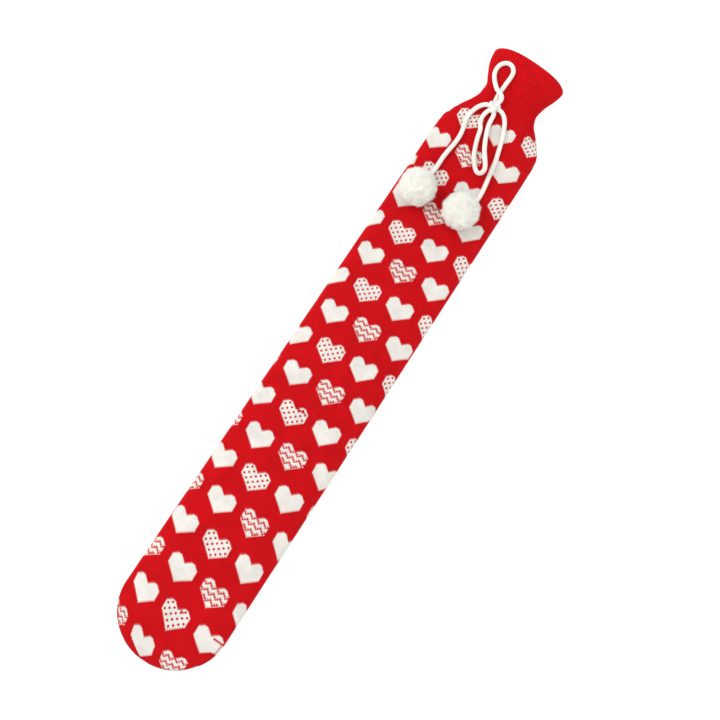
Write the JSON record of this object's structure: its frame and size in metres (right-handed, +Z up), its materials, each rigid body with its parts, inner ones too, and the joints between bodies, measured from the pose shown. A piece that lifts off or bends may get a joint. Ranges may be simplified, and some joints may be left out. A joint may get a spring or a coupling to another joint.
{
  "type": "hot water bottle cover",
  "caption": "Long flat knitted cover with a rounded foot and an open ribbed collar, with a cord bow and two pompoms lying on its front.",
  "frame": {"origin": "middle of the cover's bounding box, on the surface that its back lies on; the cord bow and pompoms aren't counted", "axes": "+Y along the cover from its rounded foot to its open collar, +Z up through its front, +X across"},
  "size_m": [0.12, 0.781, 0.0656],
  "materials": {
    "red_knit": "soft matt machine knit in red yarn with white hearts, ribbed at the collar",
    "cream_cord": "soft knitted cord in off-white yarn",
    "cream_pile": "fluffy cut pile in creamy white yarn"
  },
  "bodies": {
    "root": {"knitted_cover": "red_knit", "cord_knot": "cream_cord", "upper_loop": "cream_cord", "lower_loop": "cream_cord", "tail_left": "cream_cord", "tail_right": "cream_cord", "pompom_left": "cream_pile", "pompom_right": "cream_pile"}
  },
  "joints": []
}
